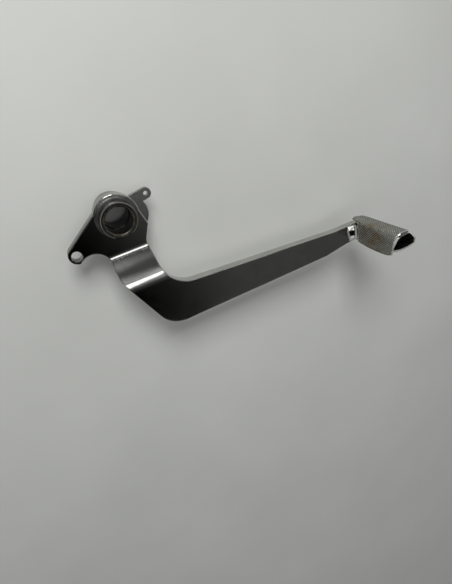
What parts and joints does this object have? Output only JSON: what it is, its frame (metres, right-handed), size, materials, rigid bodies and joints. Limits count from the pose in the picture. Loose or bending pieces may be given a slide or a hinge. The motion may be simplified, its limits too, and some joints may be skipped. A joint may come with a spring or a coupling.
{
  "type": "motorcycle foot lever",
  "caption": "Stepped stamped-steel motorcycle foot lever with a bushed pivot tube, a holed rod lug, a spring tab and a knurled half-round foot pad.",
  "frame": {"origin": "on the pivot axis, half way through the plate round the pivot tube", "axes": "+Z along the pivot axis towards the outer side, where the foot pad stands out; +X from the pivot axis towards the middle of the foot pad; +Y across the lever, on the spring tab's side"},
  "size_m": [0.2399, 0.0934, 0.0793],
  "materials": {
    "lever_steel": "satin plated steel, worn, with small chips along the bends",
    "tube_steel": "satin plated steel with bright worn chamfers",
    "bush_bronze": "dull bronze bush face",
    "tab_steel": "satin plated sheet steel",
    "weld_steel": "plated weld bead",
    "tread_steel": "knurled plated steel with a rusty tint in the middle"
  },
  "bodies": {
    "root": {"lever_plate": "lever_steel", "pivot_tube": "tube_steel", "front_bush": "bush_bronze", "rear_bush": "bush_bronze", "spring_tab": "tab_steel", "front_tube_weld": "weld_steel", "rear_tube_weld": "weld_steel", "tab_welds": "weld_steel", "pad_tread": "tread_steel", "pad_base": "tread_steel", "pad_core": "lever_steel", "pad_root_weld": "lever_steel", "pad_seam_welds": "weld_steel"}
  },
  "joints": []
}
